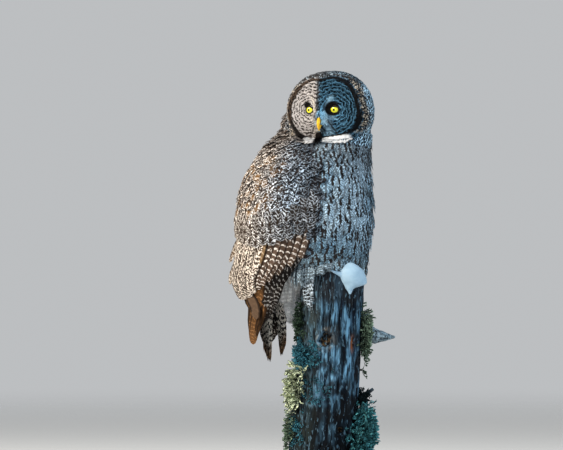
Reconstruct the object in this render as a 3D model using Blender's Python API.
"""A great grey owl perched on a cut length of dead trunk, life size, on a plain display stand.

Blender 4.5, metres, +Z up. The origin is the centre of the stand's underside. The owl's breast
faces -Y and its right side -X. Its head is turned to its right. Every piece of the owl is placed
from the body's named outlines, so that changing one of them carries the pieces that grow from it.
"""

import math
import random

import bmesh
import bpy
from mathutils import Matrix, Vector

# The gap that parts keep where they meet, and a little more where curved faces meet
GAP = 0.0003
SEAT_GAP = 0.0005
SEED = 11
SHARP_ANGLE = math.radians(45.0)

# Heights above the floor
BASE_THICKNESS = 0.018
BASE_RADIUS = 0.165
ROD_RADIUS = 0.007
ROD_LENGTH = 0.030
ROD_OFFSET = 0.036
TRUNK_BOTTOM = BASE_THICKNESS + ROD_LENGTH
TRUNK_TOP = 0.424

# Trunk
TRUNK_FOOT = Vector((0.001, -0.002, TRUNK_BOTTOM))
TRUNK_CROWN = Vector((-0.014, -0.036, TRUNK_TOP))
TRUNK_RADIUS_LOW = 0.079
TRUNK_RADIUS_HIGH = 0.0715
TRUNK_SIDES = 32
TRUNK_RINGS = 11
# Directions round the trunk from the owl's left, counted towards its back
NOTCH_TURN = math.radians(240.0)
SHARD_TURN = math.radians(270.0)
SPLINTER_TURN = math.radians(192.0)
NOTCH_DEPTH = 0.030
NOTCH_SPREAD = 0.17
SHARD_HEIGHT = 0.008
SHARD_SPREAD = 0.20
SPLINTER_HEIGHT = 0.029
SPLINTER_SPREAD = 0.38

# Broken side branches, with their radii from root to tip
STUB_ROOT = Vector((0.030, -0.052, 0.332))
STUB_TIP = Vector((0.082, -0.138, 0.312))
STUB_SAG = 0.006
STUB_RADII = (0.0180, 0.0165, 0.0120, 0.0075, 0.0022)
TWIG_ROOT = Vector((0.022, -0.040, 0.163))
TWIG_TIP = Vector((0.056, -0.098, 0.198))
TWIG_SAG = 0.004
TWIG_RADII = (0.0085, 0.0070, 0.0050, 0.0030)

# The snow on the trunk's broken top: height, place to the right and to the back as the viewer
# of the owl's right side sees them, and half width and half depth there
SNOW = (
    (0.4070, 0.0600, -0.0960, 0.0030, 0.0040),
    (0.4130, 0.0600, -0.0945, 0.0060, 0.0070),
    (0.4198, 0.0600, -0.0920, 0.0110, 0.0110),
    (0.4270, 0.0670, -0.0890, 0.0240, 0.0170),
    (0.4340, 0.0690, -0.0865, 0.0285, 0.0210),
    (0.4440, 0.0680, -0.0860, 0.0285, 0.0220),
    (0.4528, 0.0660, -0.0865, 0.0262, 0.0200),
    (0.4620, 0.0585, -0.0870, 0.0185, 0.0150),
    (0.4700, 0.0545, -0.0880, 0.0110, 0.0090),
    (0.4765, 0.0535, -0.0885, 0.0040, 0.0040),
)
SNOW_SIDES = 14
VIEW_RIGHT = Vector((0.500, -0.866, 0.0))
VIEW_BACK = Vector((0.866, 0.500, 0.0))

# Planes that part the plumage into neck, torso and head
NECK_LOW = 0.702
NECK_HIGH = 0.746

# The body without its wings: height, front, back (both along Y), half width and how far its
# middle lies to the owl's left (both along X)
BODY = (
    (0.4460, -0.052, 0.104, 0.052, 0.000),
    (0.4600, -0.080, 0.128, 0.086, 0.000),
    (0.4800, -0.096, 0.143, 0.104, 0.000),
    (0.5050, -0.105, 0.156, 0.115, 0.000),
    (0.5650, -0.113, 0.173, 0.125, 0.000),
    (0.6130, -0.112, 0.178, 0.125, 0.000),
    (0.6530, -0.110, 0.172, 0.120, 0.000),
    (0.6880, -0.108, 0.160, 0.112, 0.000),
    (0.7150, -0.107, 0.147, 0.105, 0.002),
    (0.7380, -0.108, 0.134, 0.092, 0.009),
    (0.7586, -0.109, 0.122, 0.073, 0.016),
    (0.7900, -0.088, 0.110, 0.062, 0.020),
    (0.8120, -0.062, 0.092, 0.050, 0.020),
    (0.8300, -0.030, 0.068, 0.034, 0.020),
)
# Heights of the body's rings, closer where it narrows
BODY_RINGS = (0.446, 0.452, 0.460, 0.470, 0.483, 0.500, 0.522, 0.548, 0.578, 0.610)
BODY_RINGS += (0.640, 0.668, 0.694, 0.718, 0.736, 0.752, 0.770, 0.790, 0.810, 0.826)
BODY_SIDES = 30

# The outside of the folded wings, carried on down past the body as the flight feathers are
WINGS = (
    (0.2900, 0.088, 0.186, 0.050),
    (0.3060, 0.080, 0.185, 0.053),
    (0.3400, 0.060, 0.185, 0.066),
    (0.3710, 0.032, 0.183, 0.079),
    (0.4000, 0.004, 0.196, 0.091),
    (0.4370, -0.038, 0.216, 0.106),
    (0.4770, -0.088, 0.208, 0.126),
    (0.5250, -0.108, 0.200, 0.136),
    (0.5650, -0.110, 0.199, 0.140),
    (0.6130, -0.1075, 0.1963, 0.139),
    (0.6530, -0.108, 0.184, 0.134),
    (0.6880, -0.105, 0.166, 0.123),
    (0.7160, -0.105, 0.146, 0.110),
)
# A wing's front and back edge at each height, in degrees round the body from the breast
WING_EDGES = (
    (0.2900, 104.0, 122.0),
    (0.3060, 99.0, 138.0),
    (0.3400, 80.0, 144.0),
    (0.3710, 70.0, 150.0),
    (0.4000, 69.0, 163.0),
    (0.4370, 68.0, 171.0),
    (0.5030, 61.0, 174.0),
    (0.5650, 54.0, 175.0),
    (0.6130, 50.0, 174.5),
    (0.6600, 51.0, 173.0),
    (0.6950, 60.0, 168.0),
    (0.7160, 84.0, 150.0),
)
# The primaries, from the outermost in: height of the tip, place between the wing's edges, half width
PRIMARIES = (
    (0.356, 0.03, 0.0100),
    (0.334, 0.13, 0.0110),
    (0.314, 0.28, 0.0140),
    (0.295, 0.50, 0.0165),
    (0.304, 0.74, 0.0170),
    (0.322, 0.90, 0.0160),
)
# How much of the way to the back edge the far wing's primaries are tucked behind the tail
LEFT_WING_TUCK = 0.42
SECONDARIES = 8
SECONDARY_HALF_WIDTH = 0.0185
COVERTS = 7
COVERT_HALF_WIDTH = 0.0190
COVERT_LENGTH = 0.056
SCAPULARS = 5
SCAPULAR_HALF_WIDTH = 0.0210
SCAPULAR_LENGTH = 0.070
STRAY_HALF_WIDTH = 0.0095
# Feathers that stand off the wing's back edge: root, tip (both height and place) and stand-off
WING_STRAYS = (
    ((0.535, 0.930), (0.476, 0.965), 0.0150),
    ((0.485, 0.930), (0.428, 0.950), 0.0080),
)
WING_TOP = 0.708
WING_FOOT = 0.428
WING_DEPTH = 0.026

# Head: its own axes run from the centre to the face, to the owl's left and up
HEAD_CENTRE = Vector((-0.0172, -0.0302, 0.807))
HEAD_TURN = math.radians(-85.0)
HEAD_TILT = math.radians(3.0)
HEAD_HALF_DEPTH = 0.085
HEAD_HALF_WIDTH = 0.097
HEAD_HALF_HEIGHT = 0.088
HEAD_SQUARENESS = 2.3
DISC_HALF_WIDTH = 0.084
DISC_SHIFT = 0.002
DISC_HALF_HEIGHT = 0.067
DISC_HEIGHT = 0.005
DISC_DEPTH = 0.052
DISC_NOTCH = 0.006
HEAD_SIDES = 40

EYE_RADIUS = 0.0135
EYE_SPREAD = 0.029
EYE_HEIGHT = 0.0055
EYE_DEPTH = 0.0340
EYE_SPLAY = math.radians(12.0)
LID_ANGLE = math.radians(41.0)
LID_THICKNESS = 0.0020

# Bill, from its root to its tip: depth, height, half width and half height
BILL_UPPER = (
    (0.0460, -0.0080, 0.0062, 0.0070),
    (0.0570, -0.0120, 0.0060, 0.0068),
    (0.0635, -0.0180, 0.0054, 0.0062),
    (0.0662, -0.0262, 0.0044, 0.0050),
    (0.0655, -0.0350, 0.0030, 0.0034),
    (0.0625, -0.0425, 0.0011, 0.0012),
)
BILL_LOWER = (
    (0.0450, -0.0250, 0.0050, 0.0052),
    (0.0545, -0.0285, 0.0046, 0.0048),
    (0.0590, -0.0335, 0.0036, 0.0038),
    (0.0605, -0.0385, 0.0018, 0.0018),
)

# A nostril along the head's own axes, on the left side
NOSTRIL = Vector((0.0590, 0.0062, -0.0125))
NOSTRIL_RADIUS = 0.0016

# Legs and feet
LEG_SPREAD = 0.038
LEG_CENTRE = Vector((0.0, -0.034, 0.470))
LEG_RADII = Vector((0.044, 0.056, 0.040))
FOOT_CENTRE = Vector((0.031, -0.024, TRUNK_TOP))
TOE_RADIUS = 0.0075
TOE_LENGTH = 0.040
TOE_SPLAY = (-34.0, -4.0, 26.0, 176.0)
CLAW_LENGTH = 0.020
CLAW_RADIUS = 0.0030

# Long loose feathers that hang from each leg: place along Y and height of the tip
LEG_LOCKS = ((-0.024, 0.388), (-0.010, 0.366), (0.005, 0.378))
LEG_LOCK_REACH = 0.0905
LEG_LOCK_THICKNESS = 0.0022

# Tail
TAIL_ROOT = Vector((0.0, 0.132, 0.512))
TAIL_TIP_DEPTH = 0.130
TAIL_TIP = 0.254
TAIL_FEATHERS_A_SIDE = 6
TAIL_HALF_SPREAD = 0.027
TAIL_CLEFT = 0.010
TAIL_VANE_HALF_WIDTH = 0.0120
TAIL_LEFT_SHORTER = 0.011
TAIL_OUTER_SHORTER = 0.022
TAIL_LAYER = 0.0028

VANE_THICKNESS = 0.0010
VANE_EDGE = 0.0006
VANE_PLATE = 0.0010
VANE_CAMBER = 0.04
# How far a wing's vane leans, as a slope, so that each lies over the next one to its front
SHINGLE = 0.11


def material(name, colour, roughness, metallic=0.0):
    """A Principled material of one colour."""
    made = bpy.data.materials.new(name)
    made.use_nodes = True
    shader = made.node_tree.nodes["Principled BSDF"]
    shader.inputs["Base Color"].default_value = (*colour, 1.0)
    shader.inputs["Roughness"].default_value = roughness
    shader.inputs["Metallic"].default_value = metallic
    made.diffuse_color = (*colour, 1.0)
    return made


def clear_scene():
    """Removes whatever the empty file holds."""
    for obj in list(bpy.data.objects):
        bpy.data.objects.remove(obj)


def object_of(name, points, faces):
    """A closed mesh object with its faces turned outwards."""
    mesh = bpy.data.meshes.new(name)
    mesh.from_pydata([tuple(p) for p in points], [], faces)
    work = bmesh.new()
    work.from_mesh(mesh)
    bmesh.ops.recalc_face_normals(work, faces=work.faces)
    work.to_mesh(mesh)
    work.free()
    obj = bpy.data.objects.new(name, mesh)
    bpy.context.scene.collection.objects.link(obj)
    return obj


def between(stations, where):
    """The values of a table at one height, on a smooth curve through its rows."""
    rows = sorted(stations)
    if where <= rows[0][0]:
        return rows[0][1:]
    if where >= rows[-1][0]:
        return rows[-1][1:]
    i = next(k for k in range(len(rows) - 1) if rows[k + 1][0] >= where)
    low, high = rows[i], rows[i + 1]
    before, after = rows[max(i - 1, 0)], rows[min(i + 2, len(rows) - 1)]
    span = high[0] - low[0]
    u = (where - low[0]) / span
    values = []
    for k in range(1, len(low)):
        slope_low = (high[k] - before[k]) / (high[0] - before[0]) * span
        slope_high = (after[k] - low[k]) / (after[0] - low[0]) * span
        values.append(
            (2 * u**3 - 3 * u**2 + 1) * low[k]
            + (u**3 - 2 * u**2 + u) * slope_low
            + (3 * u**2 - 2 * u**3) * high[k]
            + (u**3 - u**2) * slope_high
        )
    return values


def loft(name, rings):
    """A closed skin over rings of equal count, each end closed by a fan round its centre."""
    count = len(rings[0])
    points = [p for ring in rings for p in ring]
    faces = []
    for r in range(len(rings) - 1):
        for k in range(count):
            a, b = r * count + k, r * count + (k + 1) % count
            faces += [(a, b, b + count), (a, b + count, a + count)]
    for ring, first in ((rings[0], 0), (rings[-1], (len(rings) - 1) * count)):
        centre = sum((Vector(p) for p in ring), Vector()) / count
        points.append(centre)
        faces += [
            (first + k, first + (k + 1) % count, len(points) - 1) for k in range(count)
        ]
    return object_of(name, points, faces)


def oval_ring(height, front, back, half_width, shift, sides, grow=0.0):
    """A level ring round the body. It starts at the breast and turns towards the owl's left."""
    middle, half = (front + back) / 2, (back - front) / 2
    ring = []
    for k in range(sides):
        turn = math.tau * k / sides
        ring.append(
            Vector(
                (
                    shift + (half_width + grow) * math.sin(turn),
                    middle - (half + grow) * math.cos(turn),
                    height,
                )
            )
        )
    return ring


def tube(name, path, radii, sides, flat=1.0):
    """A tapered tube along a path. Each radius is one number, and flat squeezes it upwards."""
    rings = []
    for i, centre in enumerate(path):
        ahead = (path[min(i + 1, len(path) - 1)] - path[max(i - 1, 0)]).normalized()
        side = ahead.cross(Vector((0, 0, 1)))
        if side.length < 0.2:
            side = ahead.cross(Vector((0, 1, 0)))
        side.normalize()
        up = side.cross(ahead)
        rings.append(
            [
                centre
                + side * radii[i] * math.cos(math.tau * k / sides)
                + up * radii[i] * flat * math.sin(math.tau * k / sides)
                for k in range(sides)
            ]
        )
    return loft(name, rings)


def ellipsoid(name, centre, radii, sides, rings, grow=0.0):
    """A rounded lump with its poles up and down."""
    made = []
    for r in range(1, rings):
        lean = math.pi * r / rings
        made.append(
            [
                centre
                + Vector(
                    (
                        (radii.x + grow) * math.sin(lean) * math.cos(math.tau * k / sides),
                        (radii.y + grow) * math.sin(lean) * math.sin(math.tau * k / sides),
                        (radii.z + grow) * math.cos(lean),
                    )
                )
                for k in range(sides)
            ]
        )
    top = [centre + Vector((0, 0, radii.z + grow))]
    low = [centre - Vector((0, 0, radii.z + grow))]
    obj = loft(name, made)
    obj.data.vertices[len(obj.data.vertices) - 2].co = top[0]
    obj.data.vertices[len(obj.data.vertices) - 1].co = low[0]
    return obj


def boolean(target, operation, others, solver="EXACT"):
    """Joins or cuts the target with closed meshes, applies it and removes them."""
    group = bpy.data.collections.new("operands")
    for other in others:
        group.objects.link(other)
    step = target.modifiers.new("boolean", "BOOLEAN")
    step.operation = operation
    step.operand_type = "COLLECTION"
    step.collection = group
    step.solver = solver
    graph = bpy.context.evaluated_depsgraph_get()
    mesh = bpy.data.meshes.new_from_object(target.evaluated_get(graph))
    target.modifiers.clear()
    target.data = mesh
    for other in list(group.objects):
        bpy.data.objects.remove(other)
    bpy.data.collections.remove(group)
    return target


def largest_only(obj):
    """Keeps the largest closed surface of a mesh, triangulated and welded."""
    work = bmesh.new()
    work.from_mesh(obj.data)
    bmesh.ops.triangulate(work, faces=work.faces)
    bmesh.ops.remove_doubles(work, verts=work.verts, dist=1e-6)
    unseen = set(work.faces)
    groups = []
    while unseen:
        stack = [unseen.pop()]
        group = list(stack)
        while stack:
            for edge in stack.pop().edges:
                for face in edge.link_faces:
                    if face in unseen:
                        unseen.remove(face)
                        stack.append(face)
                        group.append(face)
        groups.append(group)

    def volume(group):
        return abs(
            sum(
                f.verts[0].co.dot(f.verts[1].co.cross(f.verts[2].co)) / 6 for f in group
            )
        )

    keep = set(max(groups, key=volume))
    bmesh.ops.delete(work, geom=[f for f in work.faces if f not in keep], context="FACES")
    bmesh.ops.dissolve_degenerate(work, edges=work.edges, dist=2e-6)
    work.to_mesh(obj.data)
    work.free()
    return obj


def slab(name, low, high):
    """A wide flat box between two heights, used to part the plumage."""
    reach = 0.4
    rings = [
        [Vector((x * reach, y * reach, z)) for x, y in ((-1, -1), (1, -1), (1, 1), (-1, 1))]
        for z in (low, high)
    ]
    return loft(name, rings)


def copy_of(obj, name):
    """A new object with its own copy of a mesh."""
    made = bpy.data.objects.new(name, obj.data.copy())
    bpy.context.scene.collection.objects.link(made)
    return made


def finish(obj, finish_material):
    """Gives a part its material and shades it smooth between its sharp edges."""
    obj.data.materials.clear()
    obj.data.materials.append(finish_material)
    obj.data.shade_smooth()
    obj.data.set_sharp_from_angle(angle=SHARP_ANGLE)
    return obj


# Head


def head_axes():
    """The rotation that carries the head's own axes (face, left, up) into the model."""
    face = Matrix.Rotation(HEAD_TURN, 3, "Z") @ Vector((0, -1, 0))
    up = Matrix.Rotation(HEAD_TILT, 3, face) @ Vector((0, 0, 1))
    left = up.cross(face)
    return Matrix((face, left, up)).transposed()


def in_head(depth, left, up):
    """A point given along the head's own axes."""
    return HEAD_CENTRE + head_axes() @ Vector((depth, left, up))


def disc_edge(turn):
    """(left, up) of the facial disc's rim, at an angle from the owl's left."""
    notch = DISC_NOTCH * math.exp(-(((turn - math.pi / 2) / 0.22) ** 2))
    left = DISC_SHIFT + DISC_HALF_WIDTH * math.cos(turn)
    up = DISC_HEIGHT + (DISC_HALF_HEIGHT - notch) * math.sin(turn)
    return left, up


def disc_depth(left, up):
    """How far in front of the head's centre the facial disc lies."""
    left = left - DISC_SHIFT
    across = left / DISC_HALF_WIDTH
    rise = (up - DISC_HEIGHT) / DISC_HALF_HEIGHT
    depth = DISC_DEPTH - 0.015 * across**2 - 0.012 * rise**2
    dish = math.hypot((abs(left) - 0.038) / 0.030, (up - EYE_HEIGHT) / 0.042)
    depth -= 0.007 * math.exp(-(dish**2))
    ridge = math.exp(-((left / 0.014) ** 2)) * math.exp(-(((up + 0.012) / 0.038) ** 2))
    depth += 0.011 * ridge
    rim = math.hypot(across, rise)
    return depth + 0.004 * math.exp(-(((rim - 0.97) / 0.08) ** 2))


def head_form():
    """The head with its facial disc, in rings round the axis that runs to the face."""
    rings = []
    for share in (0.14, 0.28, 0.42, 0.56, 0.70, 0.82, 0.91, 0.97, 1.03):
        ring = []
        for k in range(HEAD_SIDES):
            left, up = disc_edge(math.tau * k / HEAD_SIDES)
            left = DISC_SHIFT + (left - DISC_SHIFT) * share
            up = DISC_HEIGHT + (up - DISC_HEIGHT) * share
            ring.append(Vector((disc_depth(left, up), left, up)))
        rings.append(ring)
    rim = rings[-1]
    back = Vector((-1, 0, 0))
    for share in (0.12, 0.26, 0.40, 0.54, 0.68, 0.82, 0.93):
        ring = []
        for point in rim:
            way = point.normalized().slerp(back, share)
            power = HEAD_SQUARENESS - 0.2 * way.y
            reach = (
                abs(way.x / HEAD_HALF_DEPTH) ** power
                + abs(way.y / HEAD_HALF_WIDTH) ** power
                + abs(way.z / HEAD_HALF_HEIGHT) ** power
            ) ** (-1 / power)
            blend = min(1.0, share / 0.25)
            blend = blend * blend * (3 - 2 * blend)
            ring.append(way * (point.length * (1 - blend) + reach * blend))
        rings.append(ring)
    turned = [[HEAD_CENTRE + head_axes() @ p for p in ring] for ring in rings]
    obj = loft("head", turned)
    obj.data.vertices[-2].co = in_head(disc_depth(DISC_SHIFT, DISC_HEIGHT), DISC_SHIFT, DISC_HEIGHT)
    obj.data.vertices[-1].co = in_head(-HEAD_HALF_DEPTH, 0, 0)
    return obj


def eye_axis(side):
    """Where an eye looks, along the head's own axes."""
    return Vector((math.cos(EYE_SPLAY), side * math.sin(EYE_SPLAY), 0.0))


def eyeball(name, side, grow=0.0):
    """An eyeball, with one pole to the front."""
    centre = Vector((EYE_DEPTH, DISC_SHIFT + side * EYE_SPREAD, EYE_HEIGHT))
    front = eye_axis(side)
    left = Vector((0, 0, 1)).cross(front).normalized()
    up = front.cross(left)
    sides, count = 14, 8
    rings = []
    for r in range(1, count):
        lean = math.pi * r / count
        rings.append(
            [
                in_head(
                    *(
                        centre
                        + (EYE_RADIUS + grow)
                        * (
                            front * math.cos(lean)
                            + left * math.sin(lean) * math.cos(math.tau * k / sides)
                            + up * math.sin(lean) * math.sin(math.tau * k / sides)
                        )
                    )
                )
                for k in range(sides)
            ]
        )
    obj = loft(name, rings)
    obj.data.vertices[-2].co = in_head(*(centre + front * (EYE_RADIUS + grow)))
    obj.data.vertices[-1].co = in_head(*(centre - front * (EYE_RADIUS + grow)))
    return obj


def eyelid(side):
    """The ring of the lids, a little flatter above, which closes on the eyeball's edge."""
    centre = Vector((EYE_DEPTH, DISC_SHIFT + side * EYE_SPREAD, EYE_HEIGHT))
    front = eye_axis(side)
    left = Vector((0, 0, 1)).cross(front).normalized()
    up = front.cross(left)
    around, section = 15, 5
    points, faces = [], []
    for k in range(around):
        turn = math.tau * k / around
        tall = 0.80 if math.sin(turn) > 0 else 0.90
        spoke = left * math.cos(turn) + up * math.sin(turn) * tall
        lean = LID_ANGLE
        for s in range(section):
            roll = math.tau * s / section
            way = (front * math.cos(lean) + spoke * math.sin(lean)).normalized()
            ahead = (front * math.sin(lean) - spoke * math.cos(lean)).normalized()
            point = (
                centre
                + way * (EYE_RADIUS + 0.0008 + LID_THICKNESS * math.cos(roll))
                + ahead * LID_THICKNESS * math.sin(roll)
            )
            points.append(in_head(*point))
    for k in range(around):
        for s in range(section):
            a, b = k * section + s, k * section + (s + 1) % section
            after = ((k + 1) % around) * section
            c, d = after + (s + 1) % section, after + s
            faces += [(a, b, c), (a, c, d)]
    return object_of("lid", points, faces)


def bill_part(name, stations, grow=0.0):
    """A bill half as a tapered tube in the head's middle plane."""
    sides = 8
    rings = []
    for i, (depth, up, half_width, half_height) in enumerate(stations):
        ahead = Vector(stations[min(i + 1, len(stations) - 1)][:2]) - Vector(
            stations[max(i - 1, 0)][:2]
        )
        ahead.normalize()
        rise = Vector((-ahead.y, ahead.x))
        here = Vector((depth, up)) + ahead * (grow if i == len(stations) - 1 else 0.0)
        ring = []
        for k in range(sides):
            turn = math.tau * k / sides
            off = rise * (half_height + grow) * math.sin(turn)
            ring.append(
                in_head(here.x + off.x, (half_width + grow) * math.cos(turn), here.y + off.y)
            )
        rings.append(ring)
    return loft(name, rings)


def nostril(side):
    """A small cutter for one nostril, in the side of the bill's root."""
    centre = in_head(NOSTRIL.x, NOSTRIL.y * side, NOSTRIL.z)
    return ellipsoid("nostril", centre, Vector((1, 1, 1)) * NOSTRIL_RADIUS, 8, 5)


# Torso


def body_form(grow=0.0):
    """The plumage from belly to nape as one skin."""
    rings = [oval_ring(z, *between(BODY, z), BODY_SIDES, grow=grow) for z in BODY_RINGS]
    obj = loft("body", rings)
    obj.data.vertices[-2].co.z -= 0.004 + grow
    return obj


# Wings


def wing_point(side, height, share, out):
    """A point on the folded wings' outside. share runs from the front edge to the back one."""
    front, back, half_width = between(WINGS, height)
    first, last = between(WING_EDGES, height)
    turn = math.radians(first + (last - first) * share)
    middle, half = (front + back) / 2, (back - front) / 2
    point = Vector((half_width * math.sin(turn), middle - half * math.cos(turn), height))
    normal = Vector((math.sin(turn) / half_width, -math.cos(turn) / half, 0)).normalized()
    point += normal * out
    point.x *= side
    return point


def wing_core(side):
    """The arm, coverts and back feathers as one curved shell, before the vanes are set in it."""
    rows, columns = 9, 11
    grid = []
    for r in range(rows):
        height = WING_TOP + (WING_FOOT - WING_TOP) * r / (rows - 1)
        line = []
        for c in range(columns):
            share = c / (columns - 1)
            edge = min(1.0, 5.0 * share, 6.0 * (1 - share)) ** 0.5
            low = min(1.0, (height - WING_FOOT) / 0.07)
            high = min(1.0, (WING_TOP - height) / 0.03) ** 0.5
            out = -0.0035 * (1 - max(0.0, min(1.0, (height - 0.54) / 0.05)))
            out -= 0.006 * (1 - edge) + 0.012 * (1 - high)
            depth = 0.004 + (WING_DEPTH - 0.004) * edge * max(0.0, low) * (0.4 + 0.6 * high)
            line.append((height, share, out, depth))
        grid.append(line)
    points, faces = [], []
    for layer in (0, 1):
        for line in grid:
            for height, share, out, depth in line:
                points.append(wing_point(side, height, share, out - depth * layer))
    step = rows * columns

    def at(r, c, layer):
        return r * columns + c + layer * step

    for r in range(rows - 1):
        for c in range(columns - 1):
            for layer in (0, 1):
                a, b = at(r, c, layer), at(r, c + 1, layer)
                d, e = at(r + 1, c, layer), at(r + 1, c + 1, layer)
                faces += [(a, b, e), (a, e, d)]
    walls = [((r, c), (r + 1, c)) for r in range(rows - 1) for c in (0, columns - 1)]
    walls += [((r, c), (r, c + 1)) for c in range(columns - 1) for r in (0, rows - 1)]
    for first, second in walls:
        a, b = at(*first, 0), at(*second, 0)
        d, e = at(*first, 1), at(*second, 1)
        faces += [(a, b, e), (a, e, d)]
    return object_of("wing_core", points, faces)


def vane(path, across, outward, half_widths, thickness=VANE_THICKNESS):
    """A feather vane: a thin plate along a path, thickest at its shaft, alike on both faces."""
    points, faces = [], []
    for centre, side, up, half in zip(path, across, outward, half_widths, strict=True):
        edge, shaft = up * VANE_EDGE / 2, up * thickness
        camber = up * half * VANE_CAMBER
        points += [
            centre - side * half + edge,
            centre + camber + shaft,
            centre + side * half + edge,
            centre + side * half - edge,
            centre + camber - edge,
            centre - side * half - edge,
        ]
    last = (len(path) - 1) * 6
    for i in range(len(path) - 1):
        a, b = i * 6, (i + 1) * 6
        faces += [(a, a + 1, b + 1), (a, b + 1, b)]
        faces += [(a + 1, a + 2, b + 2), (a + 1, b + 2, b + 1)]
        faces += [(a + 5, b + 4, a + 4), (a + 5, b + 5, b + 4)]
        faces += [(a + 4, b + 3, a + 3), (a + 4, b + 4, b + 3)]
        faces += [(a + 2, a + 3, b + 3), (a + 2, b + 3, b + 2)]
        faces += [(a + 5, a, b), (a + 5, b, b + 5)]
    for a in (0, last):
        faces += [(a, a + 1, a + 4), (a, a + 4, a + 5)]
        faces += [(a + 1, a + 2, a + 3), (a + 1, a + 3, a + 4)]
    return object_of("vane", points, faces)


def plate(path, across, outward, half_widths, thickness=VANE_PLATE):
    """A small covert: a flat plate of one thickness, alike on both faces."""
    points, faces = [], []
    for centre, side, up, half in zip(path, across, outward, half_widths, strict=True):
        for way, level in ((-1, 0.5), (1, 0.5), (1, -0.5), (-1, -0.5)):
            points.append(centre + side * half * way + up * thickness * level)
    for i in range(len(path) - 1):
        a, b = i * 4, (i + 1) * 4
        faces += [(a, a + 1, b + 1), (a, b + 1, b)]
        faces += [(a + 3, b + 2, a + 2), (a + 3, b + 3, b + 2)]
        faces += [(a + 1, a + 2, b + 2), (a + 1, b + 2, b + 1)]
        faces += [(a + 3, a, b), (a + 3, b, b + 3)]
    for a in (0, (len(path) - 1) * 4):
        faces += [(a, a + 1, a + 2), (a, a + 2, a + 3)]
    return object_of("plate", points, faces)


def vane_widths(shares, half, root, point):
    """Half widths along a vane: a narrower root, a full middle and a tip that is round or pointed."""
    widths = []
    for s in shares:
        width = half * (root + (1 - root) * min(1.0, s / 0.35))
        if s > point:
            width *= math.sqrt(max(0.0, 1 - ((s - point) / (1 - point)) ** 2)) * 0.9 + 0.1
        widths.append(width)
    return widths


def wing_vane(side, root, tip, outs, half, round_from, form=vane):
    """A vane on the wing's outside, from a root to a tip given as (height, share)."""
    shares = (0.0, 0.40, 0.72, 0.91, 1.0)
    path, across, outward = [], [], []
    for s in shares:
        height = root[0] + (tip[0] - root[0]) * s
        share = root[1] + (tip[1] - root[1]) * s
        out = outs[0] + (outs[1] - outs[0]) * s
        here = wing_point(side, height, share, out)
        ahead = share + (tip[1] - root[1]) * 0.04
        along = (wing_point(side, height - 0.004, ahead, out) - here).normalized()
        forward = (wing_point(side, height, share - 0.02, out) - here).normalized()
        up = along.cross(forward).normalized()
        if up.dot(wing_point(side, height, share, out + 0.01) - here) < 0:
            up.negate()
        up = (up - forward * SHINGLE).normalized()
        path.append(here)
        across.append(up.cross(along).normalized())
        outward.append(up)
    return form(path, across, outward, vane_widths(shares, half, 0.55, round_from))


def wing_vanes(side, rng):
    """The flight feathers and the rows of large coverts of one wing, innermost layer first."""
    made = []
    tuck = LEFT_WING_TUCK if side > 0 else 0.0
    for tip_height, place, half in PRIMARIES:
        share = place + (1 - place) * tuck
        root = (0.470, 0.12 + 0.50 * share)
        layer = -0.0052 - 0.0040 * share
        made.append(wing_vane(side, root, (tip_height, share), (-0.0085, layer), half, 0.66))
    for k in range(SECONDARIES):
        u = k / (SECONDARIES - 1)
        tip_height = 0.400 + 0.062 * (1 - u) ** 3 + 0.030 * max(0.0, u - 0.75) / 0.25
        tip_height += rng.uniform(-0.003, 0.003)
        root = (0.520 + 0.01 * u, 0.07 + 0.86 * u)
        tip = (tip_height, 0.06 + 0.86 * u)
        outs = (-0.0065, -0.0012 + 0.0009 * (k % 2))
        made.append(wing_vane(side, root, tip, outs, SECONDARY_HALF_WIDTH, 0.80))
    for k in range(COVERTS):
        u = k / (COVERTS - 1)
        tip_height = 0.502 + 0.022 * (1 - u) ** 2 - 0.012 * u + rng.uniform(-0.004, 0.004)
        root = (tip_height + COVERT_LENGTH, 0.08 + 0.84 * u)
        tip = (tip_height, 0.06 + 0.86 * u)
        made.append(wing_vane(side, root, tip, (-0.0050, 0.0022), COVERT_HALF_WIDTH, 0.62, plate))
    for root, tip, stand_off in WING_STRAYS:
        made.append(wing_vane(side, root, tip, (-0.0060, stand_off), STRAY_HALF_WIDTH, 0.40, plate))
    for k in range(SCAPULARS):
        u = k / (SCAPULARS - 1)
        tip_height = 0.556 - 0.020 * math.sin(math.pi * u) + rng.uniform(-0.004, 0.004)
        root = (tip_height + SCAPULAR_LENGTH, 0.30 + 0.60 * u)
        tip = (tip_height, 0.32 + 0.62 * u)
        made.append(wing_vane(side, root, tip, (-0.0050, 0.0038), SCAPULAR_HALF_WIDTH, 0.62, plate))
    return made


# Tail


def tail_vanes(rng):
    """The tail's feathers, stacked from the outer ones up to the middle pair, in two bunches."""
    made = []
    shares = (0.0, 0.4, 0.75, 0.92, 1.0)
    for side in (-1, 1):
        for k in range(TAIL_FEATHERS_A_SIDE):
            u = k / (TAIL_FEATHERS_A_SIDE - 1)
            foot = side * (TAIL_CLEFT + (TAIL_HALF_SPREAD - TAIL_CLEFT) * u)
            rise = TAIL_LEFT_SHORTER * (side > 0) + TAIL_OUTER_SHORTER * u**2 + rng.uniform(0, 0.004)
            layer = TAIL_LAYER * (0.5 * side - k)
            path, across, outward = [], [], []
            for s in shares:
                lean = Vector((side * 0.16 * u, 1, -0.06)).normalized()
                x = side * 0.010 * (1 - s) * (0.3 + u) + foot * s
                y = TAIL_ROOT.y + (TAIL_TIP_DEPTH - TAIL_ROOT.y) * s + layer
                z = TAIL_ROOT.z - 0.012 * u + (TAIL_TIP + rise - TAIL_ROOT.z) * s
                path.append(Vector((x, y, z)))
                along = Vector((foot, 0, -0.25)).normalized()
                across.append(lean.cross(along).normalized())
                outward.append(lean)
            widths = vane_widths(shares, TAIL_VANE_HALF_WIDTH, 0.5, 0.80)
            made.append(vane(path, across, outward, widths))
    return made


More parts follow.
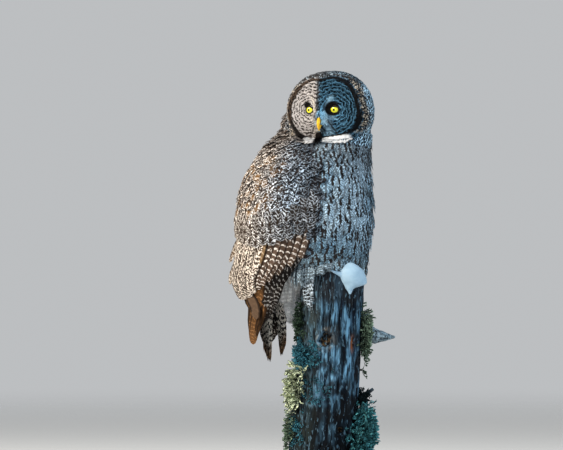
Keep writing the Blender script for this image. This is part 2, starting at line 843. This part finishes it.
def tail_root():
    """The feathered lump that holds the tail's feathers, below the rump."""
    stations = (
        (0.428, 0.116, 0.134, 0.018),
        (0.452, 0.110, 0.144, 0.026),
        (0.482, 0.104, 0.156, 0.031),
        (0.510, 0.104, 0.160, 0.030),
        (0.530, 0.116, 0.156, 0.022),
    )
    heights = (0.428, 0.440, 0.456, 0.474, 0.492, 0.510, 0.530)
    return loft("tail", [oval_ring(z, *between(stations, z), 0.0, 14) for z in heights])


def undertail():
    """The loose feathers that hang before the tail."""
    stations = (
        (0.346, 0.077, 0.082, 0.003),
        (0.380, 0.066, 0.092, 0.013),
        (0.420, 0.056, 0.096, 0.025),
        (0.455, 0.047, 0.102, 0.038),
        (0.500, 0.046, 0.100, 0.044),
    )
    heights = (0.346, 0.362, 0.380, 0.400, 0.420, 0.440, 0.462, 0.490)
    return loft("undertail_coverts", [oval_ring(z, *between(stations, z), 0.0, 16) for z in heights])


# Legs and feet


def leg_locks(side):
    """The long loose feathers that hang outside the leg, past the edge of the perch."""
    made = []
    for depth, tip in LEG_LOCKS:
        path = [
            Vector((side * 0.064, depth - 0.002, 0.468)),
            Vector((side * (LEG_LOCK_REACH - 0.004), depth, 0.446)),
            Vector((side * LEG_LOCK_REACH, depth, 0.420)),
            Vector((side * LEG_LOCK_REACH, depth - 0.001, (tip + 0.415) / 2)),
            Vector((side * (LEG_LOCK_REACH - 0.001), depth - 0.002, tip)),
        ]
        across = [Vector((0, 1, 0))] * len(path)
        outward = [Vector((side, 0, 0))] * len(path)
        widths = (0.0065, 0.0085, 0.0080, 0.0055, 0.0008)
        made.append(plate(path, across, outward, widths, LEG_LOCK_THICKNESS))
    return made


def leg(name, side, grow=0.0):
    """The rounded feathered thigh, most of it under the belly."""
    centre = LEG_CENTRE + Vector((side * LEG_SPREAD, 0, 0))
    return ellipsoid(name, centre, LEG_RADII, 16, 9, grow)


def toe_path(side, turn, length):
    """Points along a toe from under the leg to its tip, resting on the trunk's top."""
    heading = math.radians(turn * side)
    way = Vector((math.sin(heading), -math.cos(heading), 0))
    start = FOOT_CENTRE.copy()
    start.x *= side
    points = []
    for s in (0.0, 0.25, 0.5, 0.75, 1.0):
        lift = TOE_RADIUS * 0.92 + 0.0005 + 0.0035 * math.sin(math.pi * s)
        points.append(start + way * length * s + Vector((0, 0, lift)))
    return points, way


def foot(name, side, grow=0.0):
    """The four feathered toes and the shank's foot as one body."""
    start = FOOT_CENTRE.copy()
    start.x *= side
    shank = tube(
        name,
        [start + Vector((0, 0.004, z)) for z in (0.006, 0.012, 0.017)],
        [0.0125 + grow, 0.0130 + grow, 0.0125 + grow],
        12,
    )
    toes = []
    for turn in TOE_SPLAY:
        length = TOE_LENGTH * (0.72 if abs(turn) > 90 else 1.0)
        path, way = toe_path(side, turn, length)
        path[-1] += way * grow
        radii = [TOE_RADIUS * f + grow for f in (1.0, 0.98, 0.92, 0.86, 0.55)]
        toes.append(tube("toe", path, radii, 8, 0.92))
    return boolean(shank, "UNION", toes)


def claw(name, side, turn, grow=0.0):
    """A curved claw from the toe's end down to the trunk."""
    length = TOE_LENGTH * (0.72 if abs(turn) > 90 else 1.0)
    path, way = toe_path(side, turn, length)
    start = path[-1] - way * 0.0015
    points, radii = [], []
    for s in (0.0, 0.4, 0.75, 1.0):
        drop = (start.z - TRUNK_TOP - 0.0012) * s**1.8 - 0.0015 * math.sin(math.pi * s)
        points.append(start + way * (CLAW_LENGTH * 0.72 * s) - Vector((0, 0, drop)))
        radii.append(CLAW_RADIUS * (1 - s) ** 0.8 + 0.0004 + grow)
    points[-1] += way * grow
    return tube(name, points, radii, 6)


# Perch


def trunk_radius(turn, share):
    """The trunk's radius round its axis: a few broad flutes and finer furrows that run up it."""
    base = TRUNK_RADIUS_LOW + (TRUNK_RADIUS_HIGH - TRUNK_RADIUS_LOW) * share
    broad = 0.0028 * math.sin(2 * turn + 0.7 + 0.8 * share) + 0.0020 * math.sin(3 * turn + 2.1)
    fine = 0.0012 * math.sin(9 * turn + 2.5 * share) * (0.5 + 0.5 * math.sin(3 * share + turn))
    swell = 0.0035 * math.exp(-(((share - 0.62) / 0.09) ** 2)) * max(0.0, math.cos(turn - 3.6))
    return base + broad + fine + swell


def angle_between(turn, other):
    """The signed angle from one direction to another, between -pi and pi."""
    return math.atan2(math.sin(turn - other), math.cos(turn - other))


def rim_height(turn):
    """How far the broken rim stands over the trunk's flat top, or dips below it."""
    rim = 0.003 * math.sin(5 * turn + 1.0) + 0.002 * math.sin(11 * turn)
    rim -= NOTCH_DEPTH * math.exp(-((angle_between(turn, NOTCH_TURN) / NOTCH_SPREAD) ** 2))
    rim += SHARD_HEIGHT * math.exp(-((angle_between(turn, SHARD_TURN) / SHARD_SPREAD) ** 2))
    rim += SPLINTER_HEIGHT * math.exp(-((angle_between(turn, SPLINTER_TURN) / SPLINTER_SPREAD) ** 4))
    return rim


def trunk(grow=0.0):
    """A cut length of dead trunk, flat below and broken off above, with a level place for the feet."""
    rings = []
    for r in range(TRUNK_RINGS):
        share = r / (TRUNK_RINGS - 1)
        centre = TRUNK_FOOT.lerp(TRUNK_CROWN, share)
        ring = []
        for k in range(TRUNK_SIDES):
            turn = math.tau * k / TRUNK_SIDES
            radius = trunk_radius(turn, share) + grow
            lift = rim_height(turn) * max(0.0, (share - 0.75) / 0.25) + 2 * grow * share
            ring.append(
                centre + Vector((radius * math.cos(turn), radius * math.sin(turn), lift))
            )
        rings.append(ring)
    crown = TRUNK_CROWN
    for inset, drop in ((0.955, 1.0), (0.90, 0.0)):
        rings.append(
            [
                Vector(
                    (
                        crown.x + (p.x - crown.x) * inset,
                        crown.y + (p.y - crown.y) * inset,
                        crown.z + 2 * grow + (p.z - crown.z - 2 * grow) * drop,
                    )
                )
                for p in rings[TRUNK_RINGS - 1]
            ]
        )
    return loft("perch_trunk", rings)


def sagging_path(root, tip, sag, count):
    """Points from a branch's root to its tip, bowed down between them."""
    path = []
    for k in range(count):
        s = k / (count - 1)
        path.append(root.lerp(tip, s) - Vector((0, 0, sag * math.sin(math.pi * s))))
    return path


def stub():
    """The broken side branch on the trunk's left-hand side as the photo shows it."""
    path = sagging_path(STUB_ROOT, STUB_TIP, STUB_SAG, len(STUB_RADII))
    return tube("perch_stub", path, STUB_RADII, 9)


def twig():
    """A thin broken twig lower on the same side."""
    path = sagging_path(TWIG_ROOT, TWIG_TIP, TWIG_SAG, len(TWIG_RADII))
    return tube("perch_twig", path, TWIG_RADII, 8)


def snow(name):
    """The small cap of snow on the broken top, over its notch."""
    rings = []
    for height, right, back, wide, deep in SNOW:
        centre = VIEW_RIGHT * right + VIEW_BACK * back + Vector((0, 0, height))
        ring = []
        for k in range(SNOW_SIDES):
            turn = math.tau * k / SNOW_SIDES
            ring.append(
                centre
                + VIEW_RIGHT * wide * math.cos(turn)
                + VIEW_BACK * deep * math.sin(turn)
            )
        rings.append(ring)
    return loft(name, rings)


# Stand


def disc(name, low, high, radius, centre=Vector((0, 0, 0)), sides=48, chamfer=0.0):
    """An upright round plate or rod, with its upper edge cut back by the chamfer."""
    steps = [(low, radius), (high, radius)]
    if chamfer:
        steps = [(low, radius), (high - chamfer, radius), (high, radius - chamfer)]
    rings = []
    for height, size in steps:
        ring = oval_ring(height, -size, size, size, 0.0, sides)
        rings.append([point + centre for point in ring])
    return loft(name, rings)


def build():
    clear_scene()
    rng = random.Random(SEED)
    plumage = material("plumage", (0.34, 0.33, 0.32), 0.85)
    flight = material("flight_feathers", (0.30, 0.25, 0.20), 0.75)
    iris = material("eye", (0.85, 0.70, 0.05), 0.10)
    horn_yellow = material("bill", (0.80, 0.55, 0.06), 0.35)
    horn_black = material("claw", (0.03, 0.03, 0.03), 0.30)
    bark = material("bark", (0.17, 0.17, 0.17), 0.90)
    white = material("snow", (0.86, 0.90, 0.95), 0.60)
    lacquer = material("stand", (0.05, 0.05, 0.05), 0.45)

    # Plumage of head, neck and torso, modelled whole and then parted with thin cuts
    whole = boolean(body_form(), "UNION", [head_form()])
    largest_only(whole)
    head = copy_of(whole, "head")
    neck = copy_of(whole, "neck")
    boolean(whole, "INTERSECT", [slab("low", 0.0, NECK_LOW)])
    boolean(neck, "INTERSECT", [slab("middle", NECK_LOW + GAP, NECK_HIGH)])
    boolean(head, "INTERSECT", [slab("high", NECK_HIGH + GAP, 1.2)])
    whole.name = "torso"
    boolean(head, "UNION", [eyelid(-1), eyelid(1)])
    boolean(
        head,
        "DIFFERENCE",
        [
            eyeball("socket", -1, GAP),
            eyeball("socket", 1, GAP),
            bill_part("bill_seat", BILL_UPPER, GAP),
            bill_part("bill_seat", BILL_LOWER, GAP),
        ],
    )
    for obj in (whole, neck, head):
        finish(largest_only(obj), plumage)

    finish(eyeball("eye_right", -1), iris)
    finish(eyeball("eye_left", 1), iris)
    lower = bill_part("bill_lower", BILL_LOWER)
    boolean(lower, "DIFFERENCE", [bill_part("bill_seat", BILL_UPPER, GAP)])
    finish(largest_only(lower), horn_yellow)
    upper = bill_part("bill_upper", BILL_UPPER)
    boolean(upper, "DIFFERENCE", [nostril(-1), nostril(1)])
    finish(largest_only(upper), horn_yellow)

    # Wings: a core with vanes rooted in it, cut clear of the torso and neck
    for name, side in (("wing_right", -1), ("wing_left", 1)):
        core = wing_core(side)
        core.name = name
        boolean(core, "DIFFERENCE", [body_form(SEAT_GAP)])
        largest_only(core)
        boolean(core, "UNION", wing_vanes(side, rng))
        finish(largest_only(core), flight)

    tail = tail_root()
    boolean(tail, "UNION", tail_vanes(rng))
    boolean(tail, "DIFFERENCE", [body_form(SEAT_GAP)])
    finish(largest_only(tail), flight)

    vent = undertail()
    boolean(vent, "DIFFERENCE", [body_form(SEAT_GAP)])
    finish(largest_only(vent), plumage)

    # Legs, feet and claws
    for word, side in (("right", -1), ("left", 1)):
        thigh = boolean(leg(f"leg_{word}", side), "UNION", leg_locks(side))
        cutters = [body_form(SEAT_GAP), foot("foot_seat", side, GAP), trunk(2 * GAP)]
        if side > 0:
            cutters.append(leg("other", -1, GAP))
        boolean(thigh, "DIFFERENCE", cutters)
        finish(largest_only(thigh), plumage)
        paw = boolean(foot(f"foot_{word}", side), "DIFFERENCE", [body_form(SEAT_GAP)])
        finish(largest_only(paw), plumage)
        for k, turn in enumerate(TOE_SPLAY):
            nail = claw(f"claw_{word}_{k + 1}", side, turn)
            boolean(nail, "DIFFERENCE", [foot("seat", side, GAP)])
            finish(largest_only(nail), horn_black)

    # Perch
    finish(trunk(), bark)
    for branch in (stub(), twig()):
        boolean(branch, "DIFFERENCE", [trunk(GAP)])
        finish(largest_only(branch), bark)
    cap = snow("perch_snow")
    seats = [leg("seat", -1, SEAT_GAP), leg("seat", 1, GAP), body_form(SEAT_GAP)]
    seats += [foot("seat", -1, GAP + SEAT_GAP), foot("seat", 1, GAP + SEAT_GAP)]
    seats += [claw("seat", side, turn, 2 * GAP) for side in (-1, 1) for turn in TOE_SPLAY]
    seats.append(trunk(GAP + SEAT_GAP))
    boolean(cap, "DIFFERENCE", seats)
    finish(largest_only(cap), white)

    # Stand
    finish(disc("stand_base", 0.0, BASE_THICKNESS, BASE_RADIUS, chamfer=0.003), lacquer)
    for word, side in (("right", -1), ("left", 1)):
        centre = Vector((side * ROD_OFFSET, 0, 0))
        finish(
            disc(f"stand_rod_{word}", BASE_THICKNESS + GAP, TRUNK_BOTTOM - GAP, ROD_RADIUS, centre, 20),
            lacquer,
        )


build()
